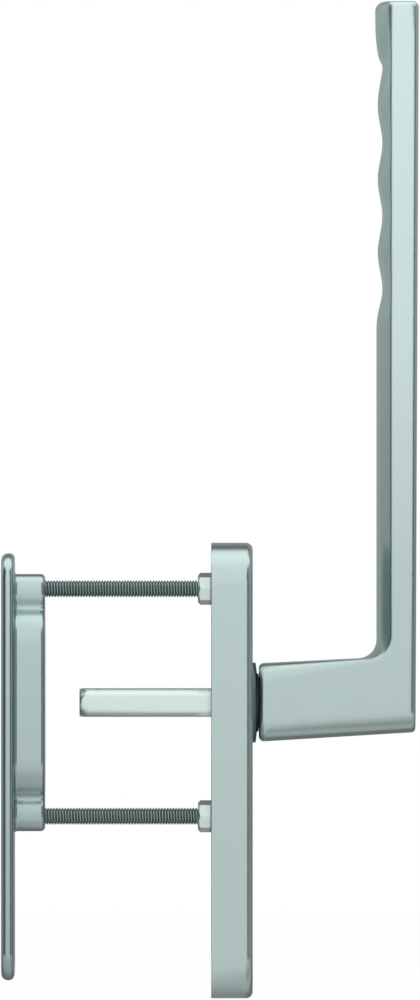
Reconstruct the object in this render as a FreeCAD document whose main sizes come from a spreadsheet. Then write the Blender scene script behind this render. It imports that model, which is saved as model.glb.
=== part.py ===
import FreeCAD, Part
import Sketcher
import math
import os

# Lift and slide door handle. Millimetres, +Z up.
# The origin lies on the spindle axis, in the door's inner face. +X points into the room, to the lever.

doc = FreeCAD.newDocument("lift_slide_handle")
sheet = doc.addObject("Spreadsheet::Sheet", "sizes")

SIZES = [
    # Door leaf and its drilling
    ("door_thickness", 69.2, "door leaf between the two plates"),
    ("screw_spacing", 80.0, "distance between the fixing screws"),
    ("cylinder_below", 69.0, "lock cylinder axis below the spindle axis"),
    ("cylinder_radius", 8.6, "round part of the cylinder cut-out"),
    ("cylinder_slot_width", 10.4, "narrow part of the cylinder cut-out"),
    ("cylinder_slot_end", 24.6, "end of the cut-out below the cylinder axis"),
    # Cover plate
    ("plate_width", 36.0, "width of the cover plate"),
    ("plate_over_screw", 16.2, "cover plate above the upper fixing screw"),
    ("plate_under_cylinder", 10.3, "cover plate below the cylinder cut-out"),
    ("plate_end_flat", 3.7, "half of the straight stretch across the cover's ends"),
    ("cover_depth", 14.6, "depth of the cover plate"),
    ("cover_wall", 1.8, "side wall of the cover plate"),
    ("cover_face", 2.0, "front wall of the cover plate"),
    ("cover_edge", 2.4, "radius round the cover's front edge"),
    # Base plate
    ("base_gap", 0.3, "gap between the base plate and the cover"),
    ("base_floor", 4.0, "thickness of the base plate"),
    ("rib_width", 2.2, "width of the base plate's long ribs"),
    ("rib_height", 3.6, "height of the ribs above the floor"),
    ("rib_end_gap", 16.0, "distance from a rib's end to the base plate's end"),
    ("hub_radius", 14.0, "hub round the lever's neck"),
    ("hub_height", 9.0, "hub above the door's face"),
    ("hub_recess", 3.8, "recess at the back of the hub for the washers"),
    ("hub_recess_radius", 12.6, "radius of that recess"),
    ("boss_radius", 6.8, "boss round a fixing screw"),
    ("boss_height", 6.6, "boss above the door's face"),
    ("clip_stud_radius", 1.5, "stud that holds a cover clip"),
    ("clip_stud_height", 1.1, "height of that stud"),
    # Lever neck and its bearing
    ("neck_radius", 9.0, "round neck of the lever"),
    ("neck_inset", 0.6, "end of the neck inside the door's face plane"),
    ("running_fit", 0.05, "radial gap of turning and sliding fits"),
    ("face_fit", 0.05, "gap between faces that run on each other"),
    ("bush_wall", 1.15, "wall of the neck bush"),
    ("bush_flange", 1.2, "thickness of the bush flange"),
    ("bush_flange_radius", 12.4, "radius of the bush flange"),
    ("bush_proud", 0.55, "bush in front of the collar"),
    ("collar_radius", 14.1, "radius of the neck collar"),
    ("collar_thickness", 1.5, "neck collar in front of the cover"),
    ("collar_fall", 0.4, "fall of the collar's face towards its rim"),
    ("collar_chamfer", 0.3, "chamfer round the collar's rim"),
    ("collar_spigot_radius", 12.6, "spigot of the collar in the cover's hole"),
    ("lever_gap", 0.1, "gap between the bush and the lever"),
    ("friction_washer_thickness", 0.55, "friction washer"),
    ("friction_washer_rim", 0.3, "gap between that washer and the hub recess"),
    ("disc_spring_thickness", 0.45, "sheet of the disc spring"),
    ("disc_spring_height", 0.85, "height of the disc spring"),
    ("ring_thickness", 1.05, "retaining ring"),
    ("ring_reach", 2.6, "retaining ring outside the neck"),
    ("ring_opening", 6.0, "opening of the retaining ring"),
    ("groove_depth", 0.7, "depth of the ring's groove in the neck"),
    # Spindle
    ("spindle_size", 10.0, "spindle across its flats"),
    ("spindle_corner", 2.0, "chamfer along the spindle's corners"),
    ("spindle_reach", 46.3, "spindle behind the door's inner face"),
    ("spindle_in_lever", 31.0, "spindle's end inside the lever"),
    ("spindle_tip_radius", 4.73, "radius of the spindle's turned end face"),
    ("spindle_tip_length", 3.5, "length of the turned cone at the spindle's end"),
    ("set_screw_at", 26.0, "set screw from the door's inner face"),
    ("set_screw_radius", 3.0, "set screw M6"),
    ("set_screw_length", 7.0, "length of the set screw"),
    ("set_screw_point", 1.2, "cone at the set screw's point"),
    ("set_screw_socket", 3.0, "hexagon socket of the set screw"),
    ("set_screw_socket_depth", 3.2, "depth of that socket"),
    # Lever
    ("lever_width", 21.0, "width of the lever"),
    ("lever_rise", 246.4, "top of the grip above the spindle axis"),
    ("lever_reach", 72.9, "outer face at the grip's top from the door's face"),
    ("grip_lean", 0.25, "lean of the grip's outer face, degrees"),
    ("arm_top_start", 13.45, "arm's upper edge above the spindle axis, at the neck"),
    ("arm_top_angle", 2.85, "rise of the arm's upper edge, degrees"),
    ("arm_bottom_start", 13.75, "arm's lower edge below the spindle axis, at the neck"),
    ("arm_bottom_angle", 3.5, "rise of the arm's lower edge, degrees"),
    ("arm_crown", 0.4, "crown of the arm's upper face"),
    ("grip_depth", 14.8, "grip from its outer face to the crown of its rear face"),
    ("grip_crown", 5.1, "crown of the grip's rear face"),
    ("corner_crown_radius", 6.5, "inner corner along the crown"),
    ("corner_edge_radius", 8.5, "inner corner along the side edges"),
    ("scallop_start", 131.5, "lower end of the finger scallops"),
    ("scallop_first", 145.3, "lowest finger scallop above the spindle axis"),
    ("scallop_pitch", 25.75, "distance between finger scallops"),
    ("scallop_count", 4, "number of finger scallops"),
    ("scallop_depth", 2.1, "depth of a finger scallop"),
    ("crest_drop", 0.45, "crest between scallops below the straight face"),
    ("top_crest", 0.45, "swell of the rear face above the scallops"),
    ("top_rear_radius", 3.4, "rounding of the crown at the grip's top"),
    ("top_outer_radius", 2.3, "rounding of the outer face at the grip's top"),
    ("arm_end_radius", 1.8, "rounding of the arm's end above and below the neck"),
    ("arm_underside_radius", 7.2, "rounding along the arm's underside"),
    ("arm_top_radius", 6.3, "rounding of the arm's upper edges, at the neck"),
    ("arm_top_last_radius", 0.3, "the same rounding where it runs out"),
    ("arm_top_run_out", 56.0, "end of that rounding, from the door's face"),
    ("outer_edge_radius", 1.5, "rounding round the grip's outer face"),
    ("top_side_chamfer", 0.6, "chamfer of the rear face's edges at the grip's top"),
    # Support posts
    ("post_corners", 11.3, "octagonal post across its corners"),
    ("post_length", 4.7, "post behind the base plate"),
    ("post_chamfer", 0.9, "turned chamfer at the post's free end"),
    ("post_spigot_radius", 4.4, "spigot of the post in the base plate"),
    ("post_spigot_length", 2.4, "length of that spigot"),
    # Fixing screws
    ("screw_radius", 2.95, "fixing screw M6, over its thread"),
    ("screw_clearance", 0.2, "radial gap round a screw in a through hole"),
    ("screw_head_radius", 5.0, "pan head of the fixing screw"),
    ("screw_head_height", 3.6, "height of that head"),
    ("screw_head_edge", 1.0, "rounding of that head"),
    ("screw_socket", 4.0, "hexagon socket of the fixing screw"),
    ("screw_socket_depth", 2.3, "depth of that socket"),
    ("screw_tip_chamfer", 0.7, "chamfer at the screw's end"),
    ("screw_washer_radius", 6.0, "washer under the screw's head"),
    ("screw_washer_thickness", 1.0, "thickness of that washer"),
    # Flush pull
    ("flange_width", 36.0, "width of the pull's flange"),
    ("flange_over_lug", 7.3, "flange above the upper lug"),
    ("flange_under_cylinder", 3.8, "flange below the cylinder cut-out"),
    ("flange_thickness", 4.5, "thickness of the flange"),
    ("flange_corner", 9.2, "corner radius of the flange"),
    ("flange_front_edge", 2.3, "rounding of the flange's front edge"),
    ("flange_rear_edge", 1.7, "rounding of the flange's rear edge"),
    ("cup_height", 67.4, "height of the recess from behind"),
    ("flange_rim", 4.5, "flange beside the recess, from behind"),
    ("cup_depth", 10.8, "recess and lugs behind the flange"),
    ("cup_end_flat", 0.7, "half of the straight stretch across the recess's ends"),
    ("cup_wall", 1.8, "wall of the recess"),
    ("cup_inner_edge", 3.0, "rounding round the recess's floor, inside"),
    ("cup_mouth_edge", 1.4, "rounding of the recess's mouth"),
    ("cup_foot", 1.2, "fillet where the recess meets the flange"),
    ("lug_over_screw", 5.2, "lug beyond the axis of its screw"),
    ("lug_width", 15.0, "width of a lug"),
    ("lug_overlap", 0.4, "lug sunk into the wall of the recess"),
    ("lug_corner", 5.0, "upright corners of a lug"),
    ("lug_edge", 1.5, "rounding round the lug's rear"),
    ("lug_root", 1.6, "fillet between a lug and the recess"),
    ("insert_radius", 4.0, "threaded insert in the lug"),
    ("insert_length", 9.0, "length of the insert"),
    ("insert_chamfer", 0.5, "chamfer at the insert's mouth"),
    ("insert_hole_spare", 0.8, "lug hole deeper than the insert"),
    ("screw_grip", 8.4, "screw inside the lug"),
    # Cover clips
    ("clip_sheet", 0.5, "spring sheet of a cover clip"),
    ("clip_width", 9.0, "width of a clip"),
    ("clip_foot", 6.0, "foot of a clip on the base plate"),
    ("clip_rise", 6.5, "leg of a clip along the cover's end wall"),
    ("clip_bow", 1.2, "bow of that leg away from the wall"),
]

for row, (alias, number, meaning) in enumerate(SIZES, start=1):
    sheet.set(f"A{row}", alias)
    sheet.set(f"B{row}", str(number))
    sheet.set(f"C{row}", meaning)
    sheet.setAlias(f"B{row}", alias)
doc.recompute()


class Size:
    """A length or angle with its number and the sheet expression that it comes from."""

    def __init__(self, number, text):
        self.number = number
        self.text = text

    def join(self, other, sign, number):
        text = other.text if isinstance(other, Size) else str(other)
        return Size(number, f"({self.text} {sign} {text})")

    def __add__(self, other):
        return self.join(other, "+", self.number + plain(other))

    def __sub__(self, other):
        return self.join(other, "-", self.number - plain(other))

    def __mul__(self, other):
        return self.join(other, "*", self.number * plain(other))

    def __truediv__(self, other):
        return self.join(other, "/", self.number / plain(other))

    def __neg__(self):
        return Size(-self.number, f"(-1 * {self.text})")


def plain(value):
    """The number of a size, or the value itself where it is a number already."""
    return value.number if isinstance(value, Size) else value


def size(alias):
    return Size(float(sheet.get(alias)), f"sizes.{alias}")


def number(alias):
    return size(alias).number


def turned_by(length, degrees):
    """The two sides of a length that is turned by an angle, across and up."""
    across = Size(length.number * math.cos(math.radians(degrees)), f"({length.text} * cos({degrees}))")
    up = Size(length.number * math.sin(math.radians(degrees)), f"({length.text} * sin({degrees}))")
    return across, up


def tangent(angle):
    return Size(math.tan(math.radians(angle.number)), f"tan({angle.text})")


ZERO = Size(0.0, "0")
FULL_TURN = 360
PLANE_X, PLANE_Y = "YZ_Plane", "XZ_Plane"
PARTS = []


def origin_feature(body, role):
    return [item for item in body.Origin.OriginFeatures if item.Role == role][0]


def new_body(label):
    body = doc.addObject("PartDesign::Body", label)
    body.Label = label
    PARTS.append(body)
    return body


def new_sketch(body, label, plane, offset=ZERO):
    """A sketch on one of the body's own planes, moved along that plane's normal."""
    sketch = body.newObject("Sketcher::SketchObject", label)
    sketch.AttachmentSupport = [(origin_feature(body, plane), "")]
    sketch.MapMode = "FlatFace"
    sketch.setExpression("AttachmentOffset.Base.z", offset.text)
    return sketch


def pin_point(sketch, geometry, end, across, up):
    """Ties one point of a sketch to the sheet, measured from the sketch's origin."""
    for kind, value in (("DistanceX", across), ("DistanceY", up)):
        index = sketch.addConstraint(Sketcher.Constraint(kind, -1, 1, geometry, end, value.number))
        sketch.setExpression(f"Constraints[{index}]", value.text)


def pin_radius(sketch, geometry, radius):
    index = sketch.addConstraint(Sketcher.Constraint("Radius", geometry, radius.number))
    sketch.setExpression(f"Constraints[{index}]", radius.text)


def draw_outline(sketch, points):
    """A closed outline of straight lines through points given as pairs of sizes."""
    corners = [FreeCAD.Vector(across.number, up.number, 0) for across, up in points]
    count = len(corners)
    for index in range(count):
        sketch.addGeometry(Part.LineSegment(corners[index], corners[(index + 1) % count]), False)
    for index in range(count):
        sketch.addConstraint(Sketcher.Constraint("Coincident", index, 2, (index + 1) % count, 1))
    for index, (across, up) in enumerate(points):
        pin_point(sketch, index, 1, across, up)


def draw_box(sketch, left, right, low, high):
    draw_outline(sketch, [(left, low), (right, low), (right, high), (left, high)])


def draw_rounded_box(sketch, left, right, low, high, radius):
    """A box with rounded corners: each side runs between two quarter circles."""
    corners = [(right, low, -1, 1), (right, high, -1, -1), (left, high, 1, -1), (left, low, 1, 1)]
    ends = []
    for index, (across, up, inward, upward) in enumerate(corners):
        on_level = (across + radius * inward, up)
        on_upright = (across, up + radius * upward)
        ends.append((on_level, on_upright) if index % 2 == 0 else (on_upright, on_level))
    quarter = math.pi / 2
    for index, (across, up, inward, upward) in enumerate(corners):
        before = ends[index - 1][1]
        start = ends[index][0]
        line = Part.LineSegment(FreeCAD.Vector(before[0].number, before[1].number, 0),
                                FreeCAD.Vector(start[0].number, start[1].number, 0))
        side = sketch.addGeometry(line, False)
        centre = FreeCAD.Vector((across + radius * inward).number, (up + radius * upward).number, 0)
        circle = Part.Circle(centre, FreeCAD.Vector(0, 0, 1), radius.number)
        first = quarter * (index - 1)
        arc = sketch.addGeometry(Part.ArcOfCircle(circle, first, first + quarter), False)
        pin_point(sketch, side, 1, *before)
        pin_point(sketch, side, 2, *start)
        sketch.addConstraint(Sketcher.Constraint("Coincident", side, 2, arc, 1))
    last = 2 * len(corners)
    for side in range(0, last, 2):
        sketch.addConstraint(Sketcher.Constraint("Coincident", (side - 1) % last, 2, side, 1))
    for arc in range(1, last, 2):
        pin_radius(sketch, arc, radius)


def draw_edge_cut(sketch, side, across, up, radius, spare):
    """What a rounding takes from an upper edge: the corner outside a quarter circle."""
    inner = (across - radius) * side
    outer = (across + spare) * side
    middle = up - radius
    points = [(across * side, middle), (outer, middle), (outer, up + spare), (inner, up + spare), (inner, up)]
    corners = [FreeCAD.Vector(point[0].number, point[1].number, 0) for point in points]
    for index in range(len(points) - 1):
        line = sketch.addGeometry(Part.LineSegment(corners[index], corners[index + 1]), False)
        pin_point(sketch, line, 1, *points[index])
        if index > 0:
            sketch.addConstraint(Sketcher.Constraint("Coincident", line - 1, 2, line, 1))
    pin_point(sketch, line, 2, *points[-1])
    circle = Part.Circle(FreeCAD.Vector(inner.number, middle.number, 0), FreeCAD.Vector(0, 0, 1), radius.number)
    first = 0 if side > 0 else math.pi / 2
    arc = sketch.addGeometry(Part.ArcOfCircle(circle, first, first + math.pi / 2), False)
    low_end, high_end = (1, 2) if side > 0 else (2, 1)
    sketch.addConstraint(Sketcher.Constraint("Coincident", arc, low_end, 0, 1))
    sketch.addConstraint(Sketcher.Constraint("Coincident", arc, high_end, line, 2))
    pin_radius(sketch, arc, radius)


def draw_circle(sketch, radius, across=ZERO, up=ZERO):
    centre = FreeCAD.Vector(across.number, up.number, 0)
    index = sketch.addGeometry(Part.Circle(centre, FreeCAD.Vector(0, 0, 1), radius.number), False)
    pin_point(sketch, index, 3, across, up)
    pin_radius(sketch, index, radius)


def draw_polygon(sketch, corner_radius, sides, first_angle):
    points = []
    for index in range(sides):
        points.append(turned_by(corner_radius, first_angle + FULL_TURN / sides * index))
    draw_outline(sketch, points)


def add_pad(body, label, sketch, length, draft=None, reverse=False):
    pad = body.newObject("PartDesign::Pad", label)
    pad.Profile = sketch
    pad.Reversed = reverse
    pad.setExpression("Length", length.text)
    if draft is not None:
        pad.setExpression("TaperAngle", draft.text)
    doc.recompute()
    return pad


def cut_pocket(body, label, sketch, length, reverse=True):
    """A pocket that has to take material away, along +X unless told otherwise."""
    before = body.Shape.Volume
    pocket = body.newObject("PartDesign::Pocket", label)
    pocket.Profile = sketch
    pocket.Reversed = reverse
    pocket.setExpression("Length", length.text)
    doc.recompute()
    if not body.Shape.Volume < before:
        raise ValueError(f"{label} cuts nothing")
    return pocket


def add_revolution(body, label, sketch):
    turned = body.newObject("PartDesign::Revolution", label)
    turned.Profile = sketch
    turned.ReferenceAxis = (origin_feature(body, "X_Axis"), [""])
    turned.Angle = FULL_TURN
    doc.recompute()
    return turned


def cut_groove(body, label, sketch):
    before = body.Shape.Volume
    groove = body.newObject("PartDesign::Groove", label)
    groove.Profile = sketch
    groove.ReferenceAxis = (origin_feature(body, "X_Axis"), [""])
    groove.Angle = FULL_TURN
    doc.recompute()
    if not body.Shape.Volume < before:
        raise ValueError(f"{label} cuts nothing")
    return groove


def add_fillet(body, label, base, radius, chosen):
    """Rounds the edges of a feature for which chosen(edge) is true."""
    names = [f"Edge{index}" for index, edge in enumerate(base.Shape.Edges, start=1) if chosen(edge)]
    fillet = body.newObject("PartDesign::Fillet", label)
    fillet.Base = (base, names)
    fillet.setExpression("Radius", radius.text)
    doc.recompute()
    return fillet


def turned_body(label, points):
    """A body turned round the X axis from pairs of place along X and radius."""
    body = new_body(label)
    sketch = new_sketch(body, f"{label}_profile", PLANE_Y)
    draw_outline(sketch, points)
    add_revolution(body, f"{label}_turned", sketch)
    return body


def place(body, along=ZERO, up=ZERO):
    body.setExpression("Placement.Base.x", along.text)
    body.setExpression("Placement.Base.z", up.text)


NEAR = 1e-3


def runs_along_x(edge):
    box = edge.BoundBox
    return box.YLength < NEAR and box.ZLength < NEAR and box.XLength > NEAR


def lies_at_x(edge, value):
    box = edge.BoundBox
    return abs(box.XMin - value) < NEAR and abs(box.XMax - value) < NEAR


def plate_blank(body, label, half_width, low, high, depth, corner, start=ZERO):
    """A flat block in the door's plane with rounded corners. It grows along +X from start."""
    outline = new_sketch(body, f"{label}_outline", PLANE_X, start)
    draw_box(outline, -half_width, half_width, -low, high)
    pad = add_pad(body, f"{label}_pad", outline, depth)
    return add_fillet(body, f"{label}_corners", pad, corner, runs_along_x)


def cut_cylinder_hole(body, label, start, depth):
    """The cut-out for a profile cylinder: a round hole with a narrower slot below it."""
    below = size("cylinder_below")
    round_hole = new_sketch(body, f"{label}_round", PLANE_X, start)
    draw_circle(round_hole, size("cylinder_radius"), ZERO, -below)
    cut_pocket(body, f"{label}_round_cut", round_hole, depth)
    half_slot = size("cylinder_slot_width") / 2
    slot_low = -(below + size("cylinder_slot_end") - half_slot)
    slot = new_sketch(body, f"{label}_slot", PLANE_X, start)
    draw_box(slot, -half_slot, half_slot, slot_low, -below)
    cut_pocket(body, f"{label}_slot_cut", slot, depth)
    slot_end = new_sketch(body, f"{label}_slot_end", PLANE_X, start)
    draw_circle(slot_end, half_slot, ZERO, slot_low)
    return cut_pocket(body, f"{label}_slot_end_cut", slot_end, depth)


# Places along X that several pieces share
hub_top = size("hub_height")
bush_radius = size("neck_radius") + size("running_fit") + size("bush_wall")
cover_front = size("cover_depth")
collar_front = cover_front + size("collar_thickness")
bush_front = collar_front + size("bush_proud")
arm_start = bush_front + size("lever_gap")
screw_head_seat = size("boss_height") + size("screw_washer_thickness")
pull_rear = -size("door_thickness")
lug_face = pull_rear + size("cup_depth")
half_spacing = size("screw_spacing") / 2
lug_reach = half_spacing + size("lug_over_screw")
plate_corner = size("plate_width") / 2 - size("plate_end_flat")
inner_width = size("plate_width") / 2 - size("cover_wall")
plate_above = half_spacing + size("plate_over_screw")
plate_below = size("cylinder_below") + size("cylinder_slot_end") + size("plate_under_cylinder")
inner_above = plate_above - size("cover_wall")
inner_below = plate_below - size("cover_wall")
base_width = inner_width - size("base_gap")
base_above = inner_above - size("base_gap")
base_below = inner_below - size("base_gap")
cup_half_width = size("flange_width") / 2 - size("flange_rim")
cup_corner = cup_half_width - size("cup_end_flat")


def make_cover_plate():
    """The visible cover: a shell that is open towards the door."""
    body = new_body("cover_plate")
    corners = plate_blank(body, "cover", size("plate_width") / 2, plate_below, plate_above, cover_front,
                          plate_corner)
    front = cover_front.number
    add_fillet(body, "cover_front_edge", corners, size("cover_edge"), lambda edge: lies_at_x(edge, front))
    inside = new_sketch(body, "cover_inside", PLANE_X)
    draw_rounded_box(inside, -inner_width, inner_width, -inner_below, inner_above,
                     plate_corner - size("cover_wall"))
    cut_pocket(body, "cover_hollow", inside, cover_front - size("cover_face"))
    neck_hole = new_sketch(body, "cover_neck_hole", PLANE_X)
    draw_circle(neck_hole, size("collar_spigot_radius") + size("running_fit"))
    cut_pocket(body, "cover_neck_cut", neck_hole, cover_front)
    cut_cylinder_hole(body, "cover_cylinder", ZERO, cover_front)


def make_base_plate():
    """The cast plate inside the cover. The screws pull on it and the lever turns in it."""
    body = new_body("base_plate")
    floor = size("base_floor")
    corner = plate_corner - size("cover_wall") - size("base_gap")
    plate_blank(body, "base", base_width, base_below, base_above, floor, corner)
    rib_low = -(base_below - size("rib_end_gap"))
    rib_high = base_above - size("rib_end_gap")
    for side, name in ((1, "right"), (-1, "left")):
        outer = base_width * side
        inner = (base_width - size("rib_width")) * side
        rib = new_sketch(body, f"base_rib_{name}", PLANE_X, floor)
        left, right = (inner, outer) if side > 0 else (outer, inner)
        draw_box(rib, left, right, rib_low, rib_high)
        add_pad(body, f"base_rib_{name}_pad", rib, size("rib_height"))
    hub = new_sketch(body, "base_hub", PLANE_X)
    draw_circle(hub, size("hub_radius"))
    add_pad(body, "base_hub_pad", hub, hub_top)
    for side, name in ((1, "upper"), (-1, "lower")):
        boss = new_sketch(body, f"base_boss_{name}", PLANE_X)
        draw_circle(boss, size("boss_radius"), ZERO, half_spacing * side)
        add_pad(body, f"base_boss_{name}_pad", boss, size("boss_height"))
        stud = new_sketch(body, f"base_stud_{name}", PLANE_X)
        draw_circle(stud, size("clip_stud_radius"), ZERO, clip_stud_height_at(side))
        add_pad(body, f"base_stud_{name}_pad", stud, floor + size("clip_stud_height"))
    bore = new_sketch(body, "base_bore", PLANE_X)
    draw_circle(bore, bush_radius + size("running_fit"))
    cut_pocket(body, "base_bore_cut", bore, hub_top)
    recess = new_sketch(body, "base_recess", PLANE_X)
    draw_circle(recess, size("hub_recess_radius"))
    cut_pocket(body, "base_recess_cut", recess, size("hub_recess"))
    for side, name in ((1, "upper"), (-1, "lower")):
        hole = new_sketch(body, f"base_hole_{name}", PLANE_X)
        draw_circle(hole, size("screw_radius") + size("screw_clearance"), ZERO, half_spacing * side)
        cut_pocket(body, f"base_hole_{name}_cut", hole, size("boss_height"))
        socket = new_sketch(body, f"base_socket_{name}", PLANE_X)
        draw_circle(socket, size("post_spigot_radius") + size("running_fit"), ZERO, half_spacing * side)
        cut_pocket(body, f"base_socket_{name}_cut", socket, size("post_spigot_length") + size("face_fit"))
    cut_cylinder_hole(body, "base_cylinder", ZERO, floor)


def clip_stud_height_at(side):
    """Height of the stud for a cover clip, at the upper or the lower end."""
    from_end = size("base_gap") + size("clip_sheet") + size("clip_foot") / 2
    if side > 0:
        return inner_above - from_end
    return -(inner_below - from_end)


def make_cover_clip(side, name):
    """A bent spring strip. Its foot sits on the base plate and its leg presses on the cover's end wall."""
    body = new_body(f"cover_clip_{name}")
    floor = size("base_floor") + size("face_fit")
    sheet_gauge = size("clip_sheet")
    wall = (inner_above if side > 0 else inner_below) - size("face_fit")
    half_rise = size("clip_rise") / 2
    bow = size("clip_bow")
    top = floor + size("clip_rise")
    profile = [
        (floor, wall - size("clip_foot") - bow),
        (floor, wall - bow),
        (floor + half_rise, wall),
        (top, wall - bow),
        (top, wall - bow - sheet_gauge),
        (floor + half_rise, wall - sheet_gauge),
        (floor + sheet_gauge, wall - bow - sheet_gauge),
        (floor + sheet_gauge, wall - size("clip_foot") - bow),
    ]
    half_width = size("clip_width") / 2
    outline = new_sketch(body, f"clip_{name}_outline", PLANE_Y, -half_width)
    draw_outline(outline, [(across, up * side) for across, up in profile])
    add_pad(body, f"clip_{name}_pad", outline, half_width * 2)
    hole = new_sketch(body, f"clip_{name}_hole", PLANE_X, floor)
    draw_circle(hole, size("clip_stud_radius") + size("running_fit"), ZERO, clip_stud_height_at(side))
    cut_pocket(body, f"clip_{name}_cut", hole, sheet_gauge)


def make_neck_bush():
    inner = size("neck_radius") + size("running_fit")
    flange_start = hub_top + size("face_fit")
    flange_end = flange_start + size("bush_flange")
    turned_body("neck_bush", [
        (size("hub_recess"), inner),
        (bush_front, inner),
        (bush_front, bush_radius),
        (flange_end, bush_radius),
        (flange_end, size("bush_flange_radius")),
        (flange_start, size("bush_flange_radius")),
        (flange_start, bush_radius),
        (size("hub_recess"), bush_radius),
    ])


def make_neck_collar():
    inner = bush_radius + size("running_fit")
    spigot_start = hub_top + size("face_fit") * 2 + size("bush_flange")
    rim = size("collar_radius")
    chamfer = size("collar_chamfer")
    rim_front = collar_front - size("collar_fall")
    turned_body("neck_collar", [
        (spigot_start, inner),
        (collar_front, inner),
        (rim_front, rim - chamfer),
        (rim_front - chamfer, rim),
        (cover_front, rim),
        (cover_front, size("collar_spigot_radius")),
        (spigot_start, size("collar_spigot_radius")),
    ])


def ring_start():
    """The retaining ring's rear face, counted back from the hub recess's floor."""
    stack = size("face_fit") * 3 + size("friction_washer_thickness") + size("disc_spring_height")
    return size("hub_recess") - stack - size("ring_thickness")


def make_neck_washers():
    """The friction washer stands still. The disc spring and the ring turn with the lever."""
    clear = size("neck_radius") + size("friction_washer_rim")
    washer_rim = size("hub_recess_radius") - size("friction_washer_rim")
    washer_front = size("hub_recess") - size("face_fit")
    washer_rear = washer_front - size("friction_washer_thickness")
    turned_body("friction_washer", [
        (washer_rear, clear), (washer_front, clear), (washer_front, washer_rim), (washer_rear, washer_rim),
    ])
    spring_front = washer_rear - size("face_fit")
    spring_rear = spring_front - size("disc_spring_height")
    gauge = size("disc_spring_thickness")
    turned_body("disc_spring", [
        (spring_rear, clear),
        (spring_rear + gauge, clear),
        (spring_front, washer_rim),
        (spring_front - gauge, washer_rim),
    ])
    rear = ring_start()
    front = rear + size("ring_thickness")
    ring_inner = size("neck_radius") - size("groove_depth") + size("running_fit")
    ring_outer = size("neck_radius") + size("ring_reach")
    body = turned_body("retaining_ring", [
        (rear, ring_inner), (front, ring_inner), (front, ring_outer), (rear, ring_outer),
    ])
    half_opening = size("ring_opening") / 2
    opening = new_sketch(body, "ring_opening_outline", PLANE_X, rear)
    draw_box(opening, -half_opening, half_opening, -ring_outer, ZERO)
    cut_pocket(body, "ring_opening_cut", opening, size("ring_thickness"))


def spindle_section(sketch, growth=ZERO):
    """A square with chamfered corners, larger by growth on every side."""
    flat = size("spindle_size") / 2 + growth
    short = size("spindle_size") / 2 - size("spindle_corner") + growth / 2
    draw_outline(sketch, [
        (flat, -short), (flat, short), (short, flat), (-short, flat),
        (-flat, short), (-flat, -short), (-short, -flat), (short, -flat),
    ])


def make_spindle():
    """A square bar whose free end is turned to a short cone."""
    body = new_body("spindle")
    reach = size("spindle_reach")
    section = new_sketch(body, "spindle_section", PLANE_X, -reach)
    spindle_section(section)
    add_pad(body, "spindle_bar", section, reach + size("spindle_in_lever"))
    outside = size("spindle_size")
    cone = new_sketch(body, "spindle_cone", PLANE_Y)
    corner = size("spindle_size") / 2 * math.sqrt(2)
    draw_outline(cone, [
        (-reach, size("spindle_tip_radius")),
        (-reach + size("spindle_tip_length"), corner - size("spindle_corner") / 2),
        (-reach + size("spindle_tip_length"), outside),
        (-reach, outside),
    ])
    cut_groove(body, "spindle_cone_cut", cone)


def make_set_screw():
    """A grub screw under the arm. Its point bites into the spindle."""
    radius = size("set_screw_radius")
    point = size("set_screw_point")
    length = size("set_screw_length")
    body = turned_body("spindle_set_screw", [
        (ZERO, ZERO), (ZERO, radius - point), (point, radius), (length, radius), (length, ZERO),
    ])
    cut_hexagon(body, "set_screw", length, size("set_screw_socket"), size("set_screw_socket_depth"))
    body.Placement = FreeCAD.Placement(FreeCAD.Vector(), FreeCAD.Rotation(FreeCAD.Vector(0, 1, 0), 90))
    place(body, size("set_screw_at"), -(size("spindle_size") / 2 + size("face_fit")))


def cut_hexagon(body, label, face, across_flats, depth):
    """A hexagon socket that goes back from a face towards -X."""
    corner_radius = across_flats / math.sqrt(3)
    socket = new_sketch(body, f"{label}_hexagon", PLANE_X, face)
    draw_polygon(socket, corner_radius, 6, 0)
    cut_pocket(body, f"{label}_hexagon_cut", socket, depth, reverse=False)


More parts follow.
